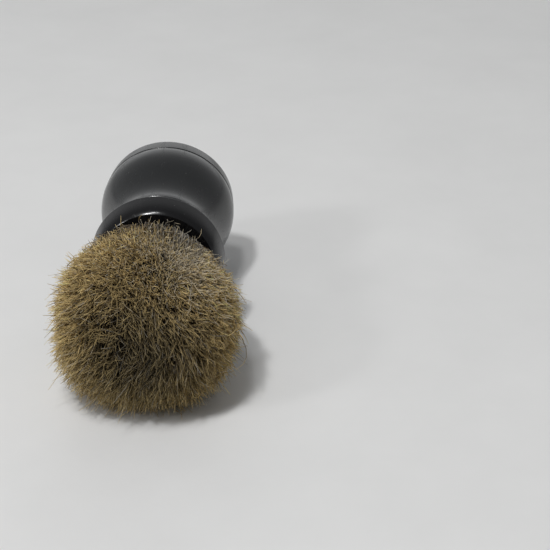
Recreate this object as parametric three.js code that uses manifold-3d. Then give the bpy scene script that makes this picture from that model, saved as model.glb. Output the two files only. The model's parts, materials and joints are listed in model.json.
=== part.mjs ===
// A shaving brush lying on its side, as it is put down on a table: the knot of hair points along -Y and
// the handle along +Y. The table is the plane z = 0, and the origin is the middle of the brush's
// footprint. Millimetres, +Z up.
//
// Every piece but the screw threads and the flat under the hair is a solid of revolution, so each
// outline is drawn as (radius, station): the station is the distance along the brush's own axis from the
// foot's end face, growing towards the tips of the hair.

import * as THREE from "three";
import { mergeVertices } from "three/addons/utils/BufferGeometryUtils.js";
import Module from "manifold-3d";

const wasm = await Module();
wasm.setup();

// ---- driving dimensions ------------------------------------------------------------------------------

const LEAN = THREE.MathUtils.degToRad(3); // the wide knot holds its end of the axis higher than the foot
const GAP = 0.3; // running and glue clearance between neighbours

const FOOT = { radius: 17.8, edgeRadius: 17.5, faceRadius: 16.6, thickness: 5.4 };
const SPIGOT = { radius: 12.2, length: 2.4 }; // locates the foot in the hollow handle
const BULB = { radius: 17.9, station: 7.5 };
const WAIST = { radius: 13.7, station: 26 };
const NECK = { radius: 14, station: 29.2 }; // end of the handle, where the collar seats
const HOLLOW = { radius: 12.5, floor: 16.4 }; // cavity in the bulb, open at the foot
const WASHER = { innerRadius: 10.9, outerRadius: 13.4, thickness: 0.6 };
const BEAD = { radius: 17, station: 36 }; // crisp back edge of the collar, its widest ring
const CREASE = { radius: 14.8, station: 42.3 }; // sharp edge between the bead and the collar's front face
const MOUTH = { radius: 11.7, station: 41.9 };
const CUP_SEAT = 32.6; // shoulder in the collar that the knot's cup sits on
const CUP = { radius: 11.3, wall: 0.6, height: 7 };
const ROOT = { radius: 8.7, mouthRadius: 10.9 }; // bundle of hair: bound at its butt, wider at the mouth
const BINDING = { cordRadius: 0.42, turns: 4 };
const CROWN = { radius: 21.5, station: 64, tip: 84.5, backRadius: 15.4, backStation: 47.8 };

const THREAD = { pitch: 2, turns: 3, coreRadius: 9.2, height: 1, root: 0.9, crest: 0.4, ventRadius: 4.5 };
const SOCKET = { radius: 10.6, floor: 20.2 };

const BEND_STATION = 39.5; // the hair bends about this point of the axis
const BEND_REACH = THREE.MathUtils.degToRad(56.5); // how far the crown's hollow wraps round the root

const ROUND = 40; // flats round a turned piece
const CURVE_STEPS = 7; // points on each curved stretch of an outline
const CORD_STEPS = 2; // points on each quarter of the binding's cord
const THREAD_STEPS = 24; // steps in each turn of a thread

// ---- stations that follow from them --------------------------------------------------------------------

const bodyStart = FOOT.thickness + GAP;
const washerStart = NECK.station + GAP;
const collarSeat = washerStart + WASHER.thickness + GAP;
const tenonEnd = SOCKET.floor + 1.4;
const tenonThread = tenonEnd + 0.8;
const socketThread = tenonThread - THREAD.pitch / 2;
const cupStart = CUP_SEAT + GAP;
const cementStart = cupStart + CUP.wall + GAP;
const cementEnd = cementStart + 1.9;
const rootStart = cementEnd + GAP;
const bindingStart = rootStart + 0.4;
const rootDome = Math.hypot(ROOT.mouthRadius, MOUTH.station - BEND_STATION);

// ---- materials -----------------------------------------------------------------------------------------

const finish = (color, roughness, metalness = 0) =>
  new THREE.MeshStandardMaterial({ color, roughness, metalness });

const blackHandle = () => finish(0x16181a, 0.28);
const blackCollar = () => finish(0x0b0c0d, 0.12);
const hair = () => finish(0xa08e6c, 0.85);

// ---- helpers -------------------------------------------------------------------------------------------

// A closed geometry as a solid that can be cut and joined.
function solidOf(geometry) {
  const bare = geometry.clone();
  bare.deleteAttribute("normal");
  bare.deleteAttribute("uv");
  const merged = mergeVertices(bare);
  const vertProperties = merged.attributes.position.array;
  const triVerts = new Uint32Array(merged.index.array);
  return new wasm.Manifold(new wasm.Mesh({ numProp: 3, vertProperties, triVerts }));
}

function geometryOf(solid) {
  const { vertProperties, triVerts } = solid.getMesh();
  const geometry = new THREE.BufferGeometry();
  geometry.setAttribute("position", new THREE.BufferAttribute(vertProperties, 3));
  geometry.setIndex(new THREE.BufferAttribute(triVerts, 1));
  geometry.computeVertexNormals();
  return geometry;
}

// Turns an outline about the axis. Outlines run outwards, then towards the tips, then back inwards. Half
// a flat of turn lays a flat, not an edge, on the table.
function turned(outline, curveSteps = CURVE_STEPS) {
  return new THREE.LatheGeometry(outline.getPoints(curveSteps), ROUND, Math.PI / ROUND);
}

function outlineFrom(radius, station) {
  return new THREE.Path().moveTo(radius, station);
}

function named(name, geometry, material) {
  const mesh = new THREE.Mesh(geometry, material);
  mesh.name = name;
  return mesh;
}

// A screw thread's ridge: a straight bar with a tapered section, wrapped round the axis as a right-hand
// helix. side is 1 for a ridge that stands out of a tenon and -1 for one that stands into a socket. The
// ridge starts inside the wall it grows from, and sinks into that wall at both ends.
function threadRidge(wallRadius, side, firstStation) {
  const { pitch, turns, height, root, crest } = THREAD;
  const sunk = 0.5;
  const section = new THREE.Shape()
    .moveTo(-sunk, -root / 2)
    .lineTo(0, -root / 2)
    .lineTo(height, -crest / 2)
    .lineTo(height, crest / 2)
    .lineTo(0, root / 2)
    .lineTo(-sunk, root / 2)
    .closePath();
  const sweep = 2 * Math.PI * turns;
  const bar = new THREE.ExtrudeGeometry(section, {
    depth: sweep,
    steps: THREAD_STEPS * turns,
    bevelEnabled: false,
  });
  const fade = Math.PI / 3;
  const points = bar.attributes.position;
  for (let i = 0; i < points.count; i += 1) {
    const angle = points.getZ(i);
    const rise = Math.min(1, angle / fade, (sweep - angle) / fade);
    const out = points.getX(i);
    const radius = wallRadius + side * (out < 0 ? out : out * rise - (sunk / 2) * (1 - rise));
    const station = firstStation - points.getY(i) * side + (pitch * angle) / (2 * Math.PI);
    points.setXYZ(i, radius * Math.sin(angle), station, radius * Math.cos(angle));
  }
  return bar;
}

// ---- the handle ----------------------------------------------------------------------------------------

// The turned bulb: widest near the foot, drawn in to a waist, and flared a little again at the neck. It is
// hollow from the foot, and has a threaded socket for the collar at its other end.
function handleBody() {
  const { radius, station } = BULB;
  const footEdge = 0.35;
  const lip = 0.5;
  const neckEdge = 0.2;
  const outline = outlineFrom(0, HOLLOW.floor)
    .lineTo(HOLLOW.radius, HOLLOW.floor)
    .lineTo(HOLLOW.radius, bodyStart)
    .lineTo(FOOT.radius - footEdge, bodyStart)
    .lineTo(FOOT.radius, bodyStart + footEdge)
    .quadraticCurveTo(radius, station - 0.7, radius, station)
    .bezierCurveTo(radius, station + 6, WAIST.radius + 0.3, WAIST.station - 6.5, WAIST.radius, WAIST.station)
    .quadraticCurveTo(WAIST.radius, WAIST.station + 1.6, NECK.radius, NECK.station - neckEdge)
    .lineTo(NECK.radius - neckEdge, NECK.station)
    .lineTo(SOCKET.radius + lip, NECK.station)
    .lineTo(SOCKET.radius, NECK.station - lip)
    .lineTo(SOCKET.radius, SOCKET.floor)
    .lineTo(0, SOCKET.floor);
  const ridge = threadRidge(SOCKET.radius, -1, socketThread);
  return named("handle_body", geometryOf(solidOf(turned(outline)).add(solidOf(ridge))), blackHandle());
}

// The disc that closes the hollow handle. Its bevel and the body's make the fine groove near the foot.
function footDisc() {
  const bevel = 0.35;
  const shoulder = 0.9;
  const outline = outlineFrom(0, 0)
    .lineTo(FOOT.faceRadius, 0)
    .quadraticCurveTo(FOOT.edgeRadius, 0, FOOT.edgeRadius, shoulder)
    .lineTo(FOOT.radius, FOOT.thickness - bevel)
    .lineTo(FOOT.radius - bevel, FOOT.thickness)
    .lineTo(SPIGOT.radius, FOOT.thickness)
    .lineTo(SPIGOT.radius, FOOT.thickness + SPIGOT.length)
    .lineTo(0, FOOT.thickness + SPIGOT.length);
  return named("foot_disc", turned(outline), blackHandle());
}

// The plaster that fills the hollow and gives the handle its weight.
function handleFilling() {
  const start = FOOT.thickness + SPIGOT.length + GAP;
  const end = HOLLOW.floor - GAP;
  const radius = HOLLOW.radius - GAP;
  const corner = 0.8;
  const outline = outlineFrom(0, start)
    .lineTo(radius - corner, start)
    .lineTo(radius, start + corner)
    .lineTo(radius, end - corner)
    .lineTo(radius - corner, end)
    .lineTo(0, end);
  return named("handle_filling", turned(outline), finish(0xd9d4c7, 0.9));
}

// ---- the collar ----------------------------------------------------------------------------------------

// The fibre washer that the collar tightens against.
function collarWasher() {
  const { innerRadius, outerRadius, thickness } = WASHER;
  const outline = outlineFrom(innerRadius, washerStart)
    .lineTo(outerRadius, washerStart)
    .lineTo(outerRadius, washerStart + thickness)
    .lineTo(innerRadius, washerStart + thickness)
    .closePath();
  return named("collar_washer", turned(outline), finish(0x3b2416, 0.8));
}

// The polished collar that holds the knot. A hollow curve rises from the neck to its crisp back edge, and
// below it a threaded tenon screws into the handle. The front face is dished a little towards the mouth.
function collar() {
  const tenonEdge = 0.5;
  const backEdge = 0.3;
  const outline = outlineFrom(THREAD.ventRadius, tenonEnd)
    .lineTo(THREAD.coreRadius - tenonEdge, tenonEnd)
    .lineTo(THREAD.coreRadius, tenonEnd + tenonEdge)
    .lineTo(THREAD.coreRadius, collarSeat)
    .lineTo(NECK.radius, collarSeat)
    .quadraticCurveTo(NECK.radius + 0.4, collarSeat + 3.6, BEAD.radius - backEdge, BEAD.station - backEdge)
    .lineTo(BEAD.radius, BEAD.station)
    .bezierCurveTo(
      BEAD.radius - 0.5,
      BEAD.station + 2.5,
      CREASE.radius + 1.25,
      CREASE.station - 1.1,
      CREASE.radius,
      CREASE.station,
    )
    .lineTo(MOUTH.radius + 0.5, MOUTH.station)
    .lineTo(MOUTH.radius, MOUTH.station - 0.5)
    .lineTo(MOUTH.radius, CUP_SEAT)
    .lineTo(THREAD.ventRadius, CUP_SEAT)
    .closePath();
  const ridge = threadRidge(THREAD.coreRadius, 1, tenonThread);
  return named("collar", geometryOf(solidOf(turned(outline)).add(solidOf(ridge))), blackCollar());
}

// ---- the knot ------------------------------------------------------------------------------------------

// The drawn metal thimble that the butt of the knot is set in.
function knotCup() {
  const { radius, wall, height } = CUP;
  const corner = 0.8;
  const outline = outlineFrom(0, cupStart)
    .lineTo(radius - corner, cupStart)
    .lineTo(radius, cupStart + corner)
    .lineTo(radius, cupStart + height)
    .lineTo(radius - wall, cupStart + height)
    .lineTo(radius - wall, cupStart + wall)
    .lineTo(0, cupStart + wall);
  return named("knot_cup", turned(outline), finish(0xb9bcc0, 0.35, 1));
}

// The cured setting compound under the butts of the hairs.
function knotCement() {
  const radius = CUP.radius - CUP.wall - GAP;
  const meniscus = 0.5;
  const outline = outlineFrom(0, cementStart)
    .lineTo(radius, cementStart)
    .lineTo(radius, cementEnd)
    .quadraticCurveTo(radius / 2, cementEnd - meniscus, 0, cementEnd - meniscus);
  return named("knot_cement", turned(outline), finish(0x7c5a2c, 0.4));
}

// The cord bound round the butt of the knot: each turn lies against the one before it.
function knotBinding() {
  const { cordRadius, turns } = BINDING;
  const innerRadius = ROOT.radius + GAP;
  const outline = outlineFrom(innerRadius, bindingStart).lineTo(innerRadius + cordRadius, bindingStart);
  for (let turn = 0; turn < turns; turn += 1) {
    const middle = bindingStart + cordRadius * (2 * turn + 1);
    outline.absarc(innerRadius + cordRadius, middle, cordRadius, -Math.PI / 2, Math.PI / 2, false);
  }
  outline.lineTo(innerRadius, bindingStart + 2 * cordRadius * turns).closePath();
  return named("knot_binding", turned(outline, CORD_STEPS), finish(0xcabf9f, 0.95));
}

// The hair inside the collar, which doesn't move. Its domed end is centred on the point that the free
// hair bends about.
function hairRoot() {
  const bindingEnd = bindingStart + 2 * BINDING.cordRadius * BINDING.turns;
  const mouthAngle = Math.atan2(MOUTH.station - BEND_STATION, ROOT.mouthRadius);
  const outline = outlineFrom(0, rootStart)
    .lineTo(ROOT.radius, rootStart)
    .lineTo(ROOT.radius, bindingEnd + GAP)
    .lineTo(ROOT.mouthRadius, MOUTH.station)
    .absarc(0, BEND_STATION, rootDome, mouthAngle, Math.PI / 2, false);
  return named("hair_root", turned(outline), hair());
}

// The free hair: it fans out behind, and its tips make a dome. The hollow underneath fits over the root's
// dome, and the back is cut away so that the crown clears the collar when it bends. The table flattens it.
function bristleCrown(tableBlock) {
  const hollow = rootDome + GAP;
  const { radius, station, tip, backRadius, backStation } = CROWN;
  const outline = new THREE.Path()
    .absarc(0, BEND_STATION, hollow, Math.PI / 2, Math.PI / 2 - BEND_REACH, true)
    .lineTo(backRadius - 2.5, backStation)
    .lineTo(backRadius, backStation)
    .bezierCurveTo(backRadius + 3.6, backStation + 4.6, radius, station - 7, radius, station)
    .bezierCurveTo(radius, station + 12.3, 13.4, tip, 0, tip);
  const crown = solidOf(turned(outline)).subtract(solidOf(tableBlock));
  return named("bristle_crown", geometryOf(crown), hair());
}

// ---- assembly ------------------------------------------------------------------------------------------

// The half space under the table, seen from the brush's own frame.
function tableInFrameOf(group) {
  const size = 300;
  group.updateMatrixWorld(true);
  return new THREE.BoxGeometry(size, size, size)
    .translate(0, 0, -size / 2)
    .applyMatrix4(group.matrixWorld.clone().invert());
}

function boxOf(object) {
  object.updateWorldMatrix(true, true);
  return new THREE.Box3().setFromObject(object, true);
}

const brush = new THREE.Group();
brush.rotation.x = Math.PI - LEAN;

const handle = new THREE.Group();
handle.add(handleBody(), footDisc(), handleFilling());
brush.add(handle);
brush.position.z = -boxOf(handle).min.z;

brush.add(collarWasher(), collar(), knotCup(), knotCement(), knotBinding(), hairRoot());
brush.add(bristleCrown(tableInFrameOf(brush)));
brush.position.y = -boxOf(brush).getCenter(new THREE.Vector3()).y;

const part = new THREE.Group();
part.add(brush);

export default part;
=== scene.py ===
"""A shaving brush lying on its side: a black turned handle, a polished collar and a flared knot of hair."""

import json
import math

import bpy
import numpy as np
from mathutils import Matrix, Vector


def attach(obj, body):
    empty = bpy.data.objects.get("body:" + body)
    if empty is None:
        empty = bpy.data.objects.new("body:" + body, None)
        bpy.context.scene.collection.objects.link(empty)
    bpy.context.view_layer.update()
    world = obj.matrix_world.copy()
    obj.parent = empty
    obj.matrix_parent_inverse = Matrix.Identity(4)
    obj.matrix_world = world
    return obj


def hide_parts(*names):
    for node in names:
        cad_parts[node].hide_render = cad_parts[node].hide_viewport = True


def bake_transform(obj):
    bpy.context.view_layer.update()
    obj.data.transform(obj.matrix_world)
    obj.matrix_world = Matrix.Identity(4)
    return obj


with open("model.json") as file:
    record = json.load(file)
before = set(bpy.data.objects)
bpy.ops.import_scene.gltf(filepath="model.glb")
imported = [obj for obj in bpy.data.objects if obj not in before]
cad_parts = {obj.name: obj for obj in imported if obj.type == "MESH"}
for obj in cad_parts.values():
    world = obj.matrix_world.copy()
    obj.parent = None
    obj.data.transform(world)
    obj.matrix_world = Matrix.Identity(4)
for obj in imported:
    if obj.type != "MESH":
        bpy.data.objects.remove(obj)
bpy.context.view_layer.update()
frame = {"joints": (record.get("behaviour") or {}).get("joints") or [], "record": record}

# ---- the brush's own frame -----------------------------------------------------------------------------
# A station is a distance in millimetres along the brush's axis, from the foot's end face to the tips.

MM = 0.001
FOOT_MOUNT = frame["record"]["mounts"][0]
FOOT = np.array(FOOT_MOUNT["pos_m"])
AXIS = -np.array(FOOT_MOUNT["axis"])
AXIS /= np.linalg.norm(AXIS)
ACROSS = np.array((1.0, 0.0, 0.0))
UPWARD = np.cross(AXIS, ACROSS)
JOINTS = {joint["name"]: joint for joint in frame["joints"]}


def station_of(point):
    """How far along the axis a point of the frame lies, in millimetres."""
    return float(np.dot(np.array(point) - FOOT, AXIS)) / MM


def to_world(local):
    """Points given as (across, upward, station) in millimetres, in the frame's metres."""
    local = np.asarray(local, float)
    offset = local[..., :1] * ACROSS + local[..., 1:2] * UPWARD + local[..., 2:3] * AXIS
    return FOOT + offset * MM


# ---- sizes, in millimetres -----------------------------------------------------------------------------

FOOT_RADIUS = 17.8
FOOT_EDGE_RADIUS = 17.5
FOOT_FACE_RADIUS = 16.6
FOOT_THICKNESS = 5.4
SPIGOT_RADIUS = 12.2
SPIGOT_LENGTH = 2.4
BULB_RADIUS = 17.9
BULB_STATION = 7.5
WAIST_RADIUS = 13.7
WAIST_STATION = 26.0
NECK_RADIUS = 14.0
NECK_STATION = 29.2
HOLLOW_RADIUS = 12.5
HOLLOW_FLOOR = 16.4
SOCKET_RADIUS = 10.6
SOCKET_FLOOR = 20.2
GAP = 0.3

COLLAR_SEAT = station_of(JOINTS["collar_turn"]["pos_m"])
BEAD_RADIUS = 17.0
BEAD_STATION = 36.0
CREASE_RADIUS = 14.8
CREASE_STATION = 42.3
MOUTH_RADIUS = 11.7
MOUTH_STATION = 41.9
CUP_SEAT = 32.6
TENON_END = 21.6
VENT_RADIUS = 4.5
THREAD_CORE = 9.2
THREAD_PITCH = 2.0
THREAD_TURNS = 3
THREAD_HEIGHT = 1.0
THREAD_START = TENON_END + 0.8

WASHER_INNER_RADIUS = 10.9
WASHER_RADIUS = 13.4
WASHER_THICKNESS = 0.6
FILLING_RADIUS = 11.4
FILLING_ROUND = 0.8
CUP_RADIUS = 11.3
CUP_HEIGHT = 7.0
CUP_WALL = 0.6
CUP_ROUND = 0.8
CEMENT_RADIUS = 10.4
CEMENT_DEPTH = 1.9
CORD_RADIUS = 0.4
CORD_TURNS = 4
CORD_SPACING = 0.84

ROOT_RADIUS = 8.7
ROOT_START = 36.0
CROWN_RADIUS = 21.5
CROWN_STATION = 64.0
CROWN_TIP = 84.5
FLANK_BEND = (19.0, 52.4)
FLANK_POINT = (15.4, 47.8)
MOUTH_POINT = (11.2, 42.2)

ROUND_STEPS = 192
INNER_ROUND_STEPS = 96
TURNED_SHARPNESS = math.radians(28)
SWEPT_SHARPNESS = math.radians(40)


# ---- outlines ------------------------------------------------------------------------------------------


def bezier(p0, p1, p2, p3, steps=24):
    """Points of a cubic curve after its first."""
    t = np.linspace(0, 1, steps + 1)[1:, None]
    p0, p1, p2, p3 = (np.array(p, float) for p in (p0, p1, p2, p3))
    return (1 - t) ** 3 * p0 + 3 * (1 - t) ** 2 * t * p1 + 3 * (1 - t) * t**2 * p2 + t**3 * p3


def arc(middle, radius, start, end, steps=8):
    """Points of an arc in the outline's plane, angles in degrees from the outward direction."""
    t = np.radians(np.linspace(start, end, steps + 1))
    return np.stack([middle[0] + radius * np.cos(t), middle[1] + radius * np.sin(t)], -1)


def outline(*parts):
    """Joins points and rows of points to one list of (radius, station)."""
    return np.concatenate([np.atleast_2d(np.array(part, float)) for part in parts])


# ---- meshes --------------------------------------------------------------------------------------------


def new_object(name, mesh, material, body=None):
    piece = bpy.data.objects.new(name, mesh)
    bpy.context.scene.collection.objects.link(piece)
    piece.data.materials.append(material)
    if body is not None:
        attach(piece, body)
    return piece


def ring_of(radius, station, round_steps):
    """A circle of points about the axis, or a single point where the outline meets the axis."""
    if radius < 1e-6:
        return np.array([[0.0, 0.0, station]])
    angles = np.linspace(0, 2 * math.pi, round_steps, endpoint=False)
    return np.stack([radius * np.sin(angles), radius * np.cos(angles), np.full(round_steps, station)], -1)


def faces_between(low, high):
    """Quads between two circles of vertex numbers, or triangles where one of them is a single point."""
    corners = zip(low, high, np.roll(high, -1), np.roll(low, -1))
    return [list(dict.fromkeys(int(v) for v in face)) for face in corners]


def smooth_mesh(name, points, faces, sharpness):
    """A smooth mesh from points in the frame's metres, with an edge wherever it turns more sharply."""
    mesh = bpy.data.meshes.new(name)
    mesh.from_pydata(points.tolist(), [], faces)
    mesh.update()
    mesh.shade_smooth()
    mesh.set_sharp_from_angle(angle=sharpness)
    return mesh


def turned_mesh(name, points, round_steps=ROUND_STEPS, closed=False, shape=None):
    """Turns an outline about the brush's axis. A closed outline makes a ring. shape moves its points."""
    rings = [ring_of(radius, station, round_steps) for radius, station in points]
    starts = np.cumsum([0] + [len(ring) for ring in rings])
    rows = []
    for ring, start in zip(rings, starts):
        rows.append(start + np.arange(len(ring)) if len(ring) > 1 else np.full(round_steps, start))
    pairs = list(zip(rows[:-1], rows[1:])) + ([(rows[-1], rows[0])] if closed else [])
    faces = [face for low, high in pairs for face in faces_between(low, high)]
    local = np.concatenate(rings)
    if shape is not None:
        local = shape(local)
    return smooth_mesh(name, to_world(local), faces, TURNED_SHARPNESS)


def swept_mesh(name, rings):
    """A closed tube through rings of points: an array of (steps, sides, 3) in the frame's metres."""
    steps, sides = rings.shape[:2]
    index = np.arange(steps * sides).reshape(steps, sides)
    around = np.roll(index, -1, axis=1)
    quads = np.stack([index[:-1], around[:-1], around[1:], index[1:]], -1).reshape(-1, 4)
    faces = quads.tolist() + [index[0, ::-1].tolist(), index[-1].tolist()]
    return smooth_mesh(name, rings.reshape(-1, 3), faces, SWEPT_SHARPNESS)


# ---- materials -----------------------------------------------------------------------------------------


class Nodes:
    """A material's node tree, with short calls for the nodes that the finishes here are made of."""

    def __init__(self, name):
        self.material = bpy.data.materials.new(name)
        self.material.use_nodes = True
        self.tree = self.material.node_tree
        self.shader = self.tree.nodes["Principled BSDF"]
        self.place = self.add("ShaderNodeTexCoord").outputs["Object"]

    def add(self, kind, **settings):
        node = self.tree.nodes.new(kind)
        for key, value in settings.items():
            setattr(node, key, value)
        return node

    def link(self, source, target):
        self.tree.links.new(source, target)

    def noise(self, scale, detail=4.0, roughness=0.5, stretch=None):
        node = self.add("ShaderNodeTexNoise")
        node.inputs["Scale"].default_value = scale
        node.inputs["Detail"].default_value = detail
        node.inputs["Roughness"].default_value = roughness
        place = self.place
        if stretch is not None:
            mapping = self.add("ShaderNodeMapping")
            mapping.inputs["Scale"].default_value = stretch
            self.link(place, mapping.inputs["Vector"])
            place = mapping.outputs["Vector"]
        self.link(place, node.inputs["Vector"])
        return node.outputs["Fac"]

    def ramp(self, source, stops):
        node = self.add("ShaderNodeValToRGB")
        elements = node.color_ramp.elements
        while len(elements) < len(stops):
            elements.new(0.5)
        for element, (at, value) in zip(elements, stops):
            element.position = at
            colour = value if hasattr(value, "__len__") else (value, value, value)
            element.color = (*colour, 1.0)
        self.link(source, node.inputs["Fac"])
        return node.outputs["Color"]

    def mix(self, blend, factor, first, second):
        node = self.add("ShaderNodeMix", data_type="RGBA", blend_type=blend)
        for socket, value in ((0, factor), (6, first), (7, second)):
            if hasattr(value, "is_linked"):
                self.link(value, node.inputs[socket])
            elif hasattr(value, "__len__"):
                node.inputs[socket].default_value = (*value, 1.0)
            else:
                node.inputs[socket].default_value = value
        return node.outputs[2]

    def bump(self, height, distance, strength=1.0):
        node = self.add("ShaderNodeBump")
        node.inputs["Strength"].default_value = strength
        node.inputs["Distance"].default_value = distance
        self.link(height, node.inputs["Height"])
        self.link(node.outputs["Normal"], self.shader.inputs["Normal"])

    def set(self, **values):
        for key, value in values.items():
            socket = self.shader.inputs[key.replace("_", " ")]
            if hasattr(value, "is_linked"):
                self.link(value, socket)
            elif hasattr(value, "__len__"):
                socket.default_value = (*value, 1.0)
            else:
                socket.default_value = value
        return self.material


def black_plastic(name, colour, dust_colour, smooth, rough, dust_share):
    """Polished black plastic: cloudy handling marks in the gloss, fine scratches and a little dust."""
    nodes = Nodes(name)
    clouds = nodes.ramp(nodes.noise(140, 5, 0.6), [(0.35, smooth), (0.75, rough)])
    scratches = nodes.ramp(nodes.noise(900, 2, 0.5, (1, 0.04, 1)), [(0.62, 0.0), (0.72, 0.10)])
    dust = nodes.ramp(nodes.noise(2600, 1, 0.3), [(dust_share, 0.0), (dust_share + 0.05, 1.0)])
    gloss = nodes.mix("ADD", 1.0, clouds, scratches)
    nodes.set(
        Base_Color=nodes.mix("MIX", dust, colour, dust_colour),
        Roughness=nodes.mix("MIX", dust, gloss, (0.7, 0.7, 0.7)),
        IOR=1.52,
    )
    nodes.bump(nodes.noise(420, 3, 0.5), 0.000012)
    return nodes.material


def plain_finish(name, dark, light, roughness, scale, bump_mm=0.02, metallic=0.0):
    """A mottled finish for the pieces inside: two tones of one colour and a fine relief."""
    nodes = Nodes(name)
    mottle = nodes.noise(scale, 6, 0.6)
    smooth_and_rough = [(0.3, roughness - 0.08), (0.7, roughness + 0.08)]
    nodes.set(
        Base_Color=nodes.ramp(mottle, [(0.3, dark), (0.7, light)]),
        Roughness=nodes.ramp(nodes.noise(scale * 2, 3), smooth_and_rough),
        Metallic=metallic,
    )
    nodes.bump(nodes.noise(scale * 4, 4), bump_mm * MM)
    return nodes.material


def hair_finish(name):
    """Dry natural hair: each strand's own tint, which carries painted shade, mottled along its length, with
    a soft sheen.
    """
    nodes = Nodes(name)
    tint = nodes.add("ShaderNodeVertexColor", layer_name="tint").outputs["Color"]
    mottle = nodes.ramp(nodes.noise(500, 3, 0.6), [(0.3, 0.72), (0.7, 1.12)])
    nodes.set(
        Base_Color=nodes.mix("MULTIPLY", 1.0, tint, mottle),
        Roughness=nodes.ramp(nodes.noise(900, 2), [(0.3, 0.42), (0.7, 0.62)]),
        Specular_IOR_Level=0.35,
        Sheen_Weight=0.15,
        Sheen_Roughness=0.5,
    )
    return nodes.material


HANDLE_BLACK = black_plastic("handle_black", (0.014, 0.015, 0.016), (0.09, 0.09, 0.085), 0.18, 0.28, 0.78)
COLLAR_BLACK = black_plastic("collar_black", (0.006, 0.006, 0.007), (0.08, 0.08, 0.075), 0.18, 0.25, 0.79)
HAIR = hair_finish("hair")
# The mass of hair inside the crown, coloured near-black as painted shade for the gaps between strands.
UNDER_HAIR_PAINTED_SHADE = plain_finish("under_hair_with_painted_shade", (0.010, 0.006, 0.003), (0.040, 0.027, 0.012), 0.8, 900, 0.2)
PLASTER = plain_finish("plaster", (0.60, 0.57, 0.49), (0.78, 0.75, 0.68), 0.85, 300, 0.05)
FIBRE = plain_finish("fibre", (0.016, 0.012, 0.010), (0.040, 0.029, 0.023), 0.75, 800, 0.03)
CUP_METAL = plain_finish("cup_metal", (0.55, 0.56, 0.58), (0.68, 0.69, 0.71), 0.32, 900, 0.005, 1.0)
CEMENT = plain_finish("cement", (0.20, 0.10, 0.03), (0.36, 0.21, 0.07), 0.3, 200, 0.04)
CORD = plain_finish("cord", (0.44, 0.38, 0.26), (0.66, 0.60, 0.46), 0.8, 1600, 0.03)


# ---- the handle ----------------------------------------------------------------------------------------


def handle_body():
    edge, lip = 0.3, 0.5
    start = FOOT_THICKNESS + GAP
    points = outline(
        (0, HOLLOW_FLOOR),
        (HOLLOW_RADIUS, HOLLOW_FLOOR),
        (HOLLOW_RADIUS, start),
        (FOOT_RADIUS - edge, start),
        bezier(
            (FOOT_RADIUS - edge, start),
            (FOOT_RADIUS - edge / 3, start),
            (FOOT_RADIUS, start + edge / 3),
            (FOOT_RADIUS, start + edge),
            6,
        ),
        bezier(
            (FOOT_RADIUS, start + edge),
            (BULB_RADIUS - 0.05, BULB_STATION - 1),
            (BULB_RADIUS, BULB_STATION - 0.5),
            (BULB_RADIUS, BULB_STATION),
        ),
        bezier(
            (BULB_RADIUS, BULB_STATION),
            (BULB_RADIUS, BULB_STATION + 6),
            (WAIST_RADIUS + 0.3, WAIST_STATION - 6.5),
            (WAIST_RADIUS, WAIST_STATION),
            48,
        ),
        bezier(
            (WAIST_RADIUS, WAIST_STATION),
            (WAIST_RADIUS, WAIST_STATION + 1.2),
            (NECK_RADIUS - 0.15, NECK_STATION - 1),
            (NECK_RADIUS, NECK_STATION - 0.2),
            12,
        ),
        (NECK_RADIUS - 0.2, NECK_STATION),
        (SOCKET_RADIUS + lip, NECK_STATION),
        (SOCKET_RADIUS, NECK_STATION - lip),
        (SOCKET_RADIUS, SOCKET_FLOOR),
        (0, SOCKET_FLOOR),
    )
    mesh = turned_mesh("turned_bulb", points)
    piece = new_object("turned_bulb", mesh, HANDLE_BLACK, "handle")
    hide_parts("handle_body")


def foot_disc():
    edge = 0.3
    top = FOOT_THICKNESS
    points = outline(
        (0, 0),
        (FOOT_FACE_RADIUS, 0),
        bezier(
            (FOOT_FACE_RADIUS, 0),
            (FOOT_EDGE_RADIUS - edge, 0),
            (FOOT_EDGE_RADIUS, edge),
            (FOOT_EDGE_RADIUS, 3 * edge),
            12,
        ),
        (FOOT_RADIUS, top - edge),
        bezier(
            (FOOT_RADIUS, top - edge),
            (FOOT_RADIUS, top - edge / 3),
            (FOOT_RADIUS - edge / 3, top),
            (FOOT_RADIUS - edge, top),
            6,
        ),
        (SPIGOT_RADIUS, top),
        (SPIGOT_RADIUS, top + SPIGOT_LENGTH),
        (0, top + SPIGOT_LENGTH),
    )
    mesh = turned_mesh("foot_plate", points)
    piece = new_object("foot_plate", mesh, HANDLE_BLACK, "handle")
    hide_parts("foot_disc")


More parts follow.
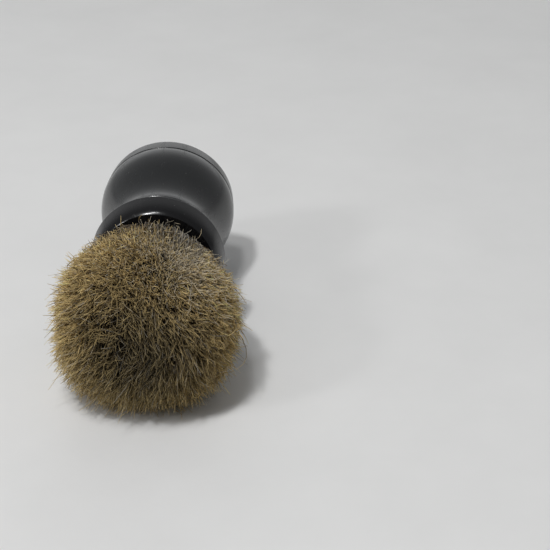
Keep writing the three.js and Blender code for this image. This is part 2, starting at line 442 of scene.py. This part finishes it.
def collar():
    points = outline(
        (VENT_RADIUS, TENON_END),
        (THREAD_CORE - 0.5, TENON_END),
        (THREAD_CORE, TENON_END + 0.5),
        (THREAD_CORE, COLLAR_SEAT),
        (NECK_RADIUS - 0.2, COLLAR_SEAT),
        (NECK_RADIUS, COLLAR_SEAT + 0.2),
        bezier(
            (NECK_RADIUS, COLLAR_SEAT + 0.2),
            (NECK_RADIUS + 0.2, COLLAR_SEAT + 2.6),
            (BEAD_RADIUS - 1.4, BEAD_STATION - 1.8),
            (BEAD_RADIUS - 0.28, BEAD_STATION - 0.3),
        ),
        bezier(
            (BEAD_RADIUS - 0.28, BEAD_STATION - 0.3),
            (BEAD_RADIUS - 0.05, BEAD_STATION),
            (BEAD_RADIUS + 0.02, BEAD_STATION),
            (BEAD_RADIUS - 0.06, BEAD_STATION + 0.35),
            8,
        ),
        bezier(
            (BEAD_RADIUS - 0.06, BEAD_STATION + 0.35),
            (BEAD_RADIUS - 0.5, BEAD_STATION + 2.5),
            (CREASE_RADIUS + 1.25, CREASE_STATION - 1.1),
            (CREASE_RADIUS + 0.08, CREASE_STATION - 0.08),
            32,
        ),
        (CREASE_RADIUS, CREASE_STATION - 0.02),
        (CREASE_RADIUS - 0.1, CREASE_STATION - 0.03),
        (MOUTH_RADIUS + 0.5, MOUTH_STATION),
        (MOUTH_RADIUS, MOUTH_STATION - 0.5),
        (MOUTH_RADIUS, CUP_SEAT),
        (VENT_RADIUS, CUP_SEAT),
    )
    mesh = turned_mesh("polished_collar", points, closed=True)
    piece = new_object("polished_collar", mesh, COLLAR_BLACK, "knot")
    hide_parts("collar")


def thread_ridge(name, wall_radius, side, first_station, material, body):
    """A screw thread's ridge. side is 1 on the tenon, and -1 in the socket."""
    sweep = 2 * math.pi * THREAD_TURNS
    angle = np.linspace(0, sweep, 72 * THREAD_TURNS + 1)[:, None]
    rise = np.clip(np.minimum(angle, sweep - angle) / (math.pi / 3), 0, 1)
    foot, half_width, half_crest = -0.4, 0.45, 0.2
    section = np.array([
        (foot, -half_width),
        (0, -half_width),
        (THREAD_HEIGHT, -half_crest),
        (THREAD_HEIGHT, half_crest),
        (0, half_width),
        (foot, half_width),
    ])
    out = section[None, :, 0]
    radius = wall_radius + side * np.where(out > 0, out * rise, out)
    station = first_station - side * section[None, :, 1] + THREAD_PITCH * angle / (2 * math.pi)
    rings = np.stack([radius * np.sin(angle), -radius * np.cos(angle), station], -1)
    new_object(name, swept_mesh(name, to_world(rings)), material, body)


def collar_thread():
    thread_ridge("collar_thread", THREAD_CORE, 1, THREAD_START, COLLAR_BLACK, "knot")


def socket_thread():
    start = THREAD_START - THREAD_PITCH / 2
    thread_ridge("socket_thread", SOCKET_RADIUS, -1, start, HANDLE_BLACK, "handle")


# ---- pieces inside -------------------------------------------------------------------------------------


def inner_ring(name, node, points, material, body, closed=False):
    mesh = turned_mesh(name, points, INNER_ROUND_STEPS, closed)
    piece = new_object(name, mesh, material, body)
    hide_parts(node)


def washer():
    low, edge = NECK_STATION + GAP, 0.1
    points = outline(
        (WASHER_INNER_RADIUS, low),
        (WASHER_RADIUS - edge, low),
        (WASHER_RADIUS, low + edge),
        (WASHER_RADIUS, low + WASHER_THICKNESS - edge),
        (WASHER_RADIUS - edge, low + WASHER_THICKNESS),
        (WASHER_INNER_RADIUS, low + WASHER_THICKNESS),
    )
    inner_ring("fibre_washer", "collar_washer", points, FIBRE, "washer", closed=True)


def filling():
    low = FOOT_THICKNESS + SPIGOT_LENGTH + GAP
    high = HOLLOW_FLOOR - GAP
    points = outline(
        (0, low),
        (FILLING_RADIUS, low),
        arc((FILLING_RADIUS, low + FILLING_ROUND), FILLING_ROUND, -90, 0),
        arc((FILLING_RADIUS, high - FILLING_ROUND), FILLING_ROUND, 0, 90),
        (0, high),
    )
    inner_ring("plaster_core", "handle_filling", points, PLASTER, "handle")


def cup():
    low = CUP_SEAT + GAP
    points = outline(
        (0, low),
        (CUP_RADIUS - CUP_ROUND, low),
        arc((CUP_RADIUS - CUP_ROUND, low + CUP_ROUND), CUP_ROUND, -90, 0),
        (CUP_RADIUS, low + CUP_HEIGHT),
        (CUP_RADIUS - CUP_WALL, low + CUP_HEIGHT),
        (CUP_RADIUS - CUP_WALL, low + CUP_WALL),
        (0, low + CUP_WALL),
    )
    inner_ring("metal_cup", "knot_cup", points, CUP_METAL, "knot")


def cement():
    low = CUP_SEAT + GAP + CUP_WALL + GAP
    rim, middle = low + CEMENT_DEPTH, low + CEMENT_DEPTH - 0.5
    points = outline(
        (0, low),
        (CEMENT_RADIUS, low),
        (CEMENT_RADIUS, rim),
        bezier((CEMENT_RADIUS, rim), (8, middle + 0.1), (3, middle), (0, middle)),
    )
    inner_ring("setting_cement", "knot_cement", points, CEMENT, "knot")


def binding_cord():
    """One cord wound in a helix round the butt of the knot."""
    sides = 10
    middle = ROOT_RADIUS + GAP + 0.42
    angle = np.linspace(0, 2 * math.pi * CORD_TURNS, 96 * CORD_TURNS + 1)[:, None]
    climb = (CORD_TURNS - 1) / CORD_TURNS * CORD_SPACING
    station = ROOT_START + 0.4 + CORD_RADIUS + climb * angle / (2 * math.pi)
    turn = np.linspace(0, 2 * math.pi, sides, endpoint=False)[None, :]
    radius = middle + CORD_RADIUS * np.cos(turn)
    along = station - CORD_RADIUS * np.sin(turn)
    rings = np.stack([radius * np.sin(angle), -radius * np.cos(angle), along], -1)
    mesh = swept_mesh("wound_cord", to_world(rings))
    piece = new_object("wound_cord", mesh, CORD, "knot")
    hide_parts("knot_binding")


# ---- the hair ------------------------------------------------------------------------------------------
# Every strand is a cubic curve from the knot's root to a tip on the crown's surface. Tips gather in
# clumps, as dry hair does. Dense short strands are the ends of such curves, whose rest lies unseen in the
# mass of hair; long ones run the whole way and dress the flank between the collar and the crown.

SEED = 20
SHORT_STRANDS = 14000
LONG_STRANDS = 4200
STRAY_STRANDS = 800
CLUMPS = 3000
STRANDS_PER_PIECE = 5200
HAIR_RADIUS = 0.135

# Where the curves start, and how they leave the root.
BUTT_RADIUS = 10.7
BUTT_STATION = 40.6
FAN_STATION = 46.0
FLANK_LEAN = math.radians(38)
FLANK_START = 0.52
FLARE = 7.0
CURVE_HOLD = 0.3

# Wear: tips that break off short, curl, lean at random and turn in a whorl about the middle.
BROKEN = 0.9
SCATTER = 0.33
CLUMP_SCATTER = 0.30
TOUSLE = 0.9
TOUSLE_START = 0.75
TIP_CURL = 0.42
WAVE = 0.12
WHORL = 0.45
WHORL_REACH = 0.25
SAG = 2.4

# Tones: grey hair to the upper right, and painted shade that darkens the middle and the upper and lower
# sides.
GREY_SHARE = 0.75
GREY_SIDE = math.radians(38)
GREY_WIDTH = math.radians(34)
BROWN_SHARE = 0.18
# Painted shade: how much darker the crown's middle, upper side and lower side are painted.
MIDDLE_PAINTED_SHADE = 0.76
MIDDLE_REACH = 0.34
UPPER_PAINTED_SHADE = 0.2
LOWER_PAINTED_SHADE = 0.1
DEEP_TINT = np.array((0.020, 0.012, 0.005))
MIDDLE_TINT = np.array((0.230, 0.154, 0.058))
TIP_TINT = np.array((0.870, 0.650, 0.285))
PALE_TINT = np.array((0.90, 0.84, 0.72))
BROWN_TINT = np.array((0.17, 0.105, 0.04))

# The worn crown isn't quite round: swellings and flats as (angle from the top, width, share of the radius).
LOBES = (
    (-5, 48, -0.17),
    (36, 30, -0.22),
    (-62, 24, 0.04),
    (-122, 24, 0.10),
    (-145, 28, 0.07),
    (140, 34, 0.07),
)

# How densely strands end at stations along the axis, as (station, density).
TIP_DENSITY = ((48, 0.0), (53, 0.7), (60, 1.0), (74, 1.0), (81, 0.7))
FLANK_DENSITY = ((43, 0.8), (50, 1.6), (60, 1.5), (70, 0.8), (80, 0.5))
STRAY_DENSITY = ((43, 0.4), (50, 1.6), (60, 1.2), (75, 0.5))

# How far under the crown's surface the mass of hair lies, coloured near-black as painted shade, as
# (station, depth).
CORE_DEPTH = ((42, 0.9), (47, 2.0), (56, 4.5), (70, 6.0), (84, 9.0))

FORWARD = np.array((0.0, 0.0, 1.0))

random = np.random.default_rng(SEED)


def crown_outline():
    """The crown's surface from the pole to the collar's mouth, as evenly spaced (radius, station)."""
    pole = (0, CROWN_TIP)
    widest = (CROWN_RADIUS, CROWN_STATION)
    shoulder = (CROWN_RADIUS, CROWN_STATION + 12.3)
    rough = outline(
        pole,
        bezier(pole, (13.4, CROWN_TIP), shoulder, widest, 60),
        bezier(widest, (CROWN_RADIUS, CROWN_STATION - 7), FLANK_BEND, FLANK_POINT, 40),
        bezier(FLANK_POINT, (13.6, 45.6), (12.0, 43.8), MOUTH_POINT, 20),
    )
    length = np.concatenate([[0], np.cumsum(np.linalg.norm(np.diff(rough, axis=0), axis=1))])
    even = np.linspace(0, length[-1], 200)
    return np.stack([np.interp(even, length, rough[:, 0]), np.interp(even, length, rough[:, 1])], -1)


CROWN_OUTLINE = crown_outline()


def unit(vectors):
    return vectors / np.linalg.norm(vectors, axis=-1, keepdims=True)


def outward_at(angle):
    """The direction away from the axis at an angle round it."""
    return np.stack([np.sin(angle), np.cos(angle), np.zeros_like(angle)], -1)


def apart(angle, centre):
    """The signed angle between two directions round the axis, in radians."""
    return np.angle(np.exp(1j * (angle - centre)))


def lobe_scale(angle):
    """How much wider or narrower than round the crown is, at an angle round the axis."""
    scale = np.ones_like(angle)
    for centre, width, share in LOBES:
        away = apart(angle, math.radians(centre)) / math.radians(width)
        scale += share * np.exp(-(away**2))
    return scale


def settle(points):
    """Gives round hair the worn crown's shape: its lobes, and the sag of its tips towards the table."""
    across, upward, station = np.moveaxis(np.asarray(points, float), -1, 0)
    grown = np.clip((station - 43) / 12, 0, 1)
    scale = 1 + (lobe_scale(np.arctan2(across, upward)) - 1) * grown
    sag = SAG * np.clip((station - 44) / 40, 0, 1)
    return np.stack([across * scale, upward * scale - sag, station], -1)


def surface_points(count, weights):
    """Random points on the crown: where each lies along the outline (0 to 1) and its angle round the axis.
    weights gives the density of points at stations along the axis."""
    place = np.linspace(0, 1, len(CROWN_OUTLINE))
    density = np.interp(CROWN_OUTLINE[:, 1], *zip(*weights))
    total = np.cumsum(CROWN_OUTLINE[:, 0] * density + 1e-9)
    along = np.interp(random.random(count), total / total[-1], place)
    return along, random.random(count) * 2 * math.pi


def on_crown(along, angle, push):
    """Points pushed out from places on the crown, and the direction that hair there points in."""
    place = np.linspace(0, 1, len(CROWN_OUTLINE))
    radius = np.interp(along, place, CROWN_OUTLINE[:, 0])
    station = np.interp(along, place, CROWN_OUTLINE[:, 1])
    fan = np.arctan2(radius, station - FAN_STATION)
    lean = np.minimum(fan * 1.22, math.radians(88))[:, None]
    direction = outward_at(angle) * np.sin(lean) + FORWARD * np.cos(lean)
    point = outward_at(angle) * radius[:, None] + FORWARD * station[:, None]
    return point + direction * push[:, None], direction


def clump_field():
    """Clump tips, with the direction that each clump leans to."""
    along, angle = surface_points(CLUMPS, TIP_DENSITY)
    point, direction = on_crown(along, angle, random.normal(0, 0.35, CLUMPS))
    return point, unit(direction + random.normal(0, CLUMP_SCATTER, point.shape))


CLUMP_TIPS, CLUMP_LEANS = clump_field()


def nearest(points, targets):
    """The index of the target nearest to each point."""
    found = np.empty(len(points), int)
    chunk_size = 2000
    for start in range(0, len(points), chunk_size):
        chunk = points[start : start + chunk_size]
        distance = ((chunk[:, None] - targets[None]) ** 2).sum(-1)
        found[start : start + chunk_size] = distance.argmin(1)
    return found


def strand_tips(along, angle, gather, lie_flat, overshoot):
    """Where strands end, the direction they end in, and the clump that each belongs to."""
    count = len(along)
    broken = np.abs(random.normal(0, BROKEN, count))
    tip, direction = on_crown(along, angle, overshoot * random.random(count) - broken * 0.7 + 0.3)
    clump = nearest(tip, CLUMP_TIPS)
    pull = gather * (0.55 + 0.45 * random.random(count))[:, None]
    tip = tip + (CLUMP_TIPS[clump] - tip) * pull - direction * (broken * 0.4)[:, None]

    flank = np.clip((along - FLANK_START) / 0.2, 0, 1)[:, None] * lie_flat
    lying = outward_at(angle) * 0.42 + FORWARD * 0.9
    direction = direction * (1 - flank) + lying * flank
    whorl = WHORL * np.exp(-((along / WHORL_REACH) ** 2))[:, None]
    swirl = np.stack([np.cos(angle), -np.sin(angle), np.zeros(count)], -1) * whorl
    lean = CLUMP_LEANS[clump] * 0.72 * (1 - flank)
    scatter = random.normal(0, SCATTER, tip.shape)
    return tip, unit(direction * 0.6 + lean + swirl + scatter), clump


def strand_roots(along, angle):
    """Where strands start in the butt of the knot, and the direction they leave it in."""
    count = len(along)
    spread = np.clip(along / FLANK_START, 0, 1) ** 0.8
    radius = BUTT_RADIUS * spread * np.sqrt(0.8 + 0.2 * random.random(count))
    outward = outward_at(angle + random.normal(0, 0.07, count))
    lean = (FLANK_LEAN * radius / BUTT_RADIUS)[:, None]
    root = outward * radius[:, None] + FORWARD * BUTT_STATION
    return root, outward * np.sin(lean) + FORWARD * np.cos(lean)


def strand_curves(root, root_direction, tip, tip_direction, t):
    """Cubic curves from the roots to the tips, waved along their length and tousled at their ends."""
    count = len(root)
    length = np.linalg.norm(tip - root, axis=1)[:, None]
    leave = root + root_direction * np.minimum(length * 0.34, FLARE)
    arrive = tip - tip_direction * length * CURVE_HOLD
    b0, b1, b2, b3 = (point[:, None] for point in (root, leave, arrive, tip))
    path = (1 - t) ** 3 * b0 + 3 * (1 - t) ** 2 * t * b1 + 3 * (1 - t) * t**2 * b2 + t**3 * b3
    sideways = random.normal(0, 1, (count, 1, 3))
    phase = random.random((count, 1, 1)) * 6.3
    wave = sideways * np.sin(t * 9 + phase) * (WAVE * t + TIP_CURL * t**6)
    loose_end = np.clip((t - TOUSLE_START) / (1 - TOUSLE_START), 0, 1) ** 2
    return path + wave + random.normal(0, TOUSLE, (count, 1, 3)) * loose_end


def grey_share(along, angle):
    """The share of pale strands at places on the crown: high on the grey side, none at the middle."""
    grey = GREY_SHARE * np.exp(-((apart(angle, GREY_SIDE) / GREY_WIDTH) ** 2))
    return grey * np.clip((along - 0.3) / 0.25, 0, 1)


def painted_shade_at(along, angle):
    """How much of its brightness a strand keeps at places on the crown: painted shade, darkest at the
    middle and darker towards the upper and lower sides.
    """
    upward = np.cos(angle) * np.clip(along / 0.5, 0, 1)
    middle = 1 - MIDDLE_PAINTED_SHADE * np.exp(-((along / MIDDLE_REACH) ** 2))
    return middle * (1 - np.where(upward > 0, UPPER_PAINTED_SHADE, LOWER_PAINTED_SHADE) * upward**2)


def strand_tints(t, clump, pale_share, painted_shade):
    """Colours from root to tip for each strand: dark at the root, tan at the tip, some pale, some brown,
    times the painted shade given.
    """
    each = (len(clump), 1, 1)
    middle = np.clip((t - 0.30) / 0.55, 0, 1)
    end = np.clip((t - 0.81) / 0.16, 0, 1)
    tint = DEEP_TINT + (MIDDLE_TINT - DEEP_TINT) * middle + (TIP_TINT - MIDDLE_TINT) * end
    clump_shade = random.normal(1, 0.15, CLUMPS)[clump][:, None, None]
    tint = tint * np.clip(random.normal(1, 0.2, each) * clump_shade, 0.5, 1.6)
    pale = (random.random(each) < pale_share[:, None, None]) * (0.35 + 0.5 * random.random(each))
    brown = (random.random(each) < BROWN_SHARE) * (0.4 + 0.5 * random.random(each))
    tint = tint + (PALE_TINT * (0.35 + 0.65 * end) - tint) * pale
    tint = tint + (BROWN_TINT - tint) * brown * (1 - pale)
    # Painted shade multiplies each strand's colour here.
    return np.minimum(tint * painted_shade[:, None, None], 0.9)


def press_on_table(points):
    """Lays the hair that would pass through the table on top of it, and spreads it sideways."""
    rest = (0.1 + 0.9 * random.random(points.shape[:1] + (1,))) * MM
    height = points[..., 2]
    soft = 0.5 * (height + rest + np.sqrt((height - rest) ** 2 + (0.8 * MM) ** 2)) - 0.25 * MM
    lifted = np.where(height < 4 * MM, np.maximum(soft, 0.12 * MM), height)
    lift = np.maximum(lifted - height, 0)
    points[..., 0] += np.sign(points[..., 0]) * lift * 0.8
    points[..., 1] -= lift * 0.3
    points[..., 2] = np.where(height < 2.5 * MM, np.maximum(height, lifted), height)
    return points


def strand_vertices(paths, radius):
    """The three corners round each point of each strand, as (count, steps, 3 corners, 3)."""
    count, steps = paths.shape[:2]
    along = unit(np.gradient(paths, axis=1) + 1e-12)
    side = unit(np.cross(along, random.normal(0, 1, (count, 1, 3))))
    other = np.cross(along, side)
    t = np.linspace(0, 1, steps)
    taper = (1 - 0.7 * t**3)[None, :, None] * radius[:, None, None] * MM
    turns = np.arange(3) * 2 * math.pi / 3
    corners = [paths + taper * (side * math.cos(turn) + other * math.sin(turn)) for turn in turns]
    return np.stack(corners, 2)


def strands_mesh(name, paths, tints_with_painted_shade, radius):
    """Three-sided tapering strands, closed at both ends, as one mesh with a colour at each corner."""
    count, steps = paths.shape[:2]
    index = np.arange(count * steps * 3).reshape(count, steps, 3)
    around = np.roll(index, -1, axis=2)
    quads = np.stack([index[:, :-1], around[:, :-1], around[:, 1:], index[:, 1:]], -1).reshape(-1, 4)
    caps = np.concatenate([index[:, 0, ::-1], index[:, -1]])
    corners = np.concatenate([quads.ravel(), caps.ravel()])
    sizes = np.concatenate([np.full(len(quads), 4), np.full(len(caps), 3)])
    starts = np.concatenate([[0], np.cumsum(sizes)[:-1]])
    mesh = bpy.data.meshes.new(name)
    mesh.vertices.add(index.size)
    mesh.vertices.foreach_set("co", strand_vertices(paths, radius).astype(np.float32).ravel())
    mesh.loops.add(len(corners))
    mesh.loops.foreach_set("vertex_index", corners.astype(np.int32))
    mesh.polygons.add(len(sizes))
    mesh.polygons.foreach_set("loop_start", starts.astype(np.int32))
    mesh.update(calc_edges=True)
    mesh.validate()
    mesh.shade_smooth()
    # The tint attribute holds each strand's colour with painted shade multiplied in.
    colours = np.ones((count, steps, 3, 4), np.float32)
    colours[..., :3] = tints_with_painted_shade[:, :, None, :]
    mesh.color_attributes.new("tint", "FLOAT_COLOR", "POINT").data.foreach_set("color", colours.ravel())
    return mesh


def bend_with_crown(piece):
    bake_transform(piece)


def add_strands(name, paths, tints_with_painted_shade):
    """Makes the strands as several pieces, none of them very large."""
    paths = press_on_table(to_world(settle(paths)))
    pieces = math.ceil(len(paths) / STRANDS_PER_PIECE)
    for number, chosen in enumerate(np.array_split(np.arange(len(paths)), pieces), 1):
        radius = HAIR_RADIUS * random.uniform(0.75, 1.2, len(chosen))
        piece_name = f"{name}_{number}"
        mesh = strands_mesh(piece_name, paths[chosen], tints_with_painted_shade[chosen], radius)
        bend_with_crown(new_object(piece_name, mesh, HAIR))


def dress(name, count, density, first, steps, gather, lie_flat, overshoot, pale):
    """Adds one layer of strands, drawn from the share first of their length to their tips.
    gather pulls tips into clumps, lie_flat lays the flank's hair down, overshoot lets tips stand out."""
    along, angle = surface_points(count, density)
    t = np.linspace(first, 1, steps)[None, :, None]
    tip, tip_direction, clump = strand_tips(along, angle, gather, lie_flat, overshoot)
    root, root_direction = strand_roots(along, angle)
    paths = strand_curves(root, root_direction, tip, tip_direction, t)
    tints_with_painted_shade = strand_tints(t, clump, grey_share(along, angle) + pale, painted_shade_at(along, angle))
    add_strands(name, paths, tints_with_painted_shade)


def under_hair_with_painted_shade():
    """The unlit mass of hair behind the strands that show: the crown's shape, some way inside it, coloured
    near-black as painted shade for the gaps between the strands.
    """
    depth = np.interp(CROWN_OUTLINE[:, 1], *zip(*CORE_DEPTH))
    fan = np.arctan2(CROWN_OUTLINE[:, 0], CROWN_OUTLINE[:, 1] - FAN_STATION + 6)
    inner = CROWN_OUTLINE - np.stack([np.sin(fan), np.cos(fan)], -1) * depth[:, None]
    inner[:, 0] = np.maximum(inner[:, 0], 0)
    inner[0, 0] = 0
    butt = outline((0, ROOT_START), (ROOT_RADIUS, ROOT_START), (ROOT_RADIUS, 40), (10.0, 41.4))
    mesh = turned_mesh("under_hair_with_painted_shade", outline(butt, inner[::4][::-1]), INNER_ROUND_STEPS, shape=settle)
    above = np.array([v.co for v in mesh.vertices])
    above[:, 2] = np.maximum(above[:, 2], 1.2 * MM)
    mesh.vertices.foreach_set("co", above.ravel())
    piece = new_object("under_hair_with_painted_shade", mesh, UNDER_HAIR_PAINTED_SHADE)
    bend_with_crown(piece)
    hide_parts("bristle_crown", "hair_root")


def tip_hair():
    dress(
        "tip_hair", SHORT_STRANDS, TIP_DENSITY,
        first=0.70, steps=8, gather=0.45, lie_flat=0.0, overshoot=0.0, pale=0.06,
    )


def long_hair():
    dress(
        "long_hair", LONG_STRANDS, FLANK_DENSITY,
        first=0.0, steps=10, gather=0.25, lie_flat=1.0, overshoot=0.0, pale=0.10,
    )


def stray_hair():
    dress(
        "stray_hair", STRAY_STRANDS, STRAY_DENSITY,
        first=0.3, steps=9, gather=0.0, lie_flat=0.2, overshoot=3.4, pale=0.4,
    )


# ---- table, light and camera ---------------------------------------------------------------------------

CAMERA_DISTANCE = 0.3966
CAMERA_ELEVATION = 29.9
CAMERA_AZIMUTH = -0.9
CAMERA_AIM = FOOT + np.array((29.2, -11.1, -17.27)) * MM
CAMERA_LENS = 94.25

# How bright the room is in directions that point away from the backdrop (-1) to straight at it (1).
BACKDROP_GLOW = (
    (-1.0, 0.17),
    (-0.3, 0.18),
    (0.3, 0.16),
    (0.55, 0.25),
    (0.78, 0.46),
    (0.88, 0.92),
    (1.0, 1.0),
)

# The lamps: the direction each stands in, its size in metres and its power in watts.
LAMP_DISTANCE = 1.0
LAMPS = {
    "high_lamp": ((-0.106, -0.16, 1), 0.12, 1.65),
    "front_lamp": ((-0.264, -0.32, 1), 0.09, 4.1),
    "side_lamp": ((-0.733, -0.41, 0.546), 0.12, 1.3),
}


def camera():
    elevation, azimuth = math.radians(CAMERA_ELEVATION), math.radians(CAMERA_AZIMUTH)
    level = math.cos(elevation)
    forward = Vector((math.sin(azimuth) * level, math.cos(azimuth) * level, -math.sin(elevation)))
    data = bpy.data.cameras.new("camera")
    data.lens = CAMERA_LENS
    data.sensor_width = 36
    data.clip_start = 0.01
    data.clip_end = 20
    eye = bpy.data.objects.new("camera", data)
    eye.location = Vector(CAMERA_AIM) - forward * CAMERA_DISTANCE
    eye.rotation_euler = forward.to_track_quat("-Z", "Y").to_euler()
    bpy.context.scene.collection.objects.link(eye)
    bpy.context.scene.camera = eye


def area_light(name, direction, size, power):
    """A square light that faces the brush from a direction."""
    data = bpy.data.lights.new(name, "AREA")
    data.size = size
    data.energy = power
    lamp = bpy.data.objects.new(name, data)
    away = Vector(direction).normalized()
    lamp.location = away * LAMP_DISTANCE
    lamp.rotation_euler = (-away).to_track_quat("-Z", "Y").to_euler()
    bpy.context.scene.collection.objects.link(lamp)


def table_top():
    size = 3.0
    mesh = bpy.data.meshes.new("table_top")
    corners = [(-size, -size, 0), (size, -size, 0), (size, size, 0), (-size, size, 0)]
    mesh.from_pydata(corners, [], [(0, 1, 2, 3)])
    nodes = Nodes("table_paint")
    tone = nodes.ramp(nodes.noise(30, 4, 0.6), [(0.3, (0.765, 0.765, 0.76)), (0.7, (0.80, 0.80, 0.795))])
    nodes.set(Base_Color=tone, Roughness=0.55)
    nodes.bump(nodes.noise(700, 2), 0.00002)
    new_object("table_top", mesh, nodes.material)


def room_light():
    """A dim room, with a pale backdrop rising behind the table on the foot's side."""
    world = bpy.data.worlds.new("room")
    world.use_nodes = True
    tree = world.node_tree
    place = tree.nodes.new("ShaderNodeTexCoord")
    split = tree.nodes.new("ShaderNodeSeparateXYZ")
    spread = tree.nodes.new("ShaderNodeMapRange")
    ramp = tree.nodes.new("ShaderNodeValToRGB")
    spread.inputs["From Min"].default_value = -1
    elements = ramp.color_ramp.elements
    while len(elements) < len(BACKDROP_GLOW):
        elements.new(0.5)
    for element, (toward_backdrop, tone) in zip(elements, BACKDROP_GLOW):
        element.position = (toward_backdrop + 1) / 2
        element.color = (tone * 0.985, tone * 0.995, tone, 1.0)
    tree.links.new(place.outputs["Generated"], split.inputs["Vector"])
    tree.links.new(split.outputs["Y"], spread.inputs["Value"])
    tree.links.new(spread.outputs["Result"], ramp.inputs["Fac"])
    tree.links.new(ramp.outputs["Color"], tree.nodes["Background"].inputs["Color"])
    bpy.context.scene.world = world


def light():
    room_light()
    for name, (direction, size, power) in LAMPS.items():
        area_light(name, direction, size, power)


# ---- assembly ------------------------------------------------------------------------------------------

camera()
handle_body()
foot_disc()
collar()
collar_thread()
socket_thread()
washer()
filling()
cup()
cement()
binding_cord()
under_hair_with_painted_shade()
tip_hair()
long_hair()
stray_hair()
table_top()
light()
bpy.context.scene.view_settings.view_transform = "Standard"
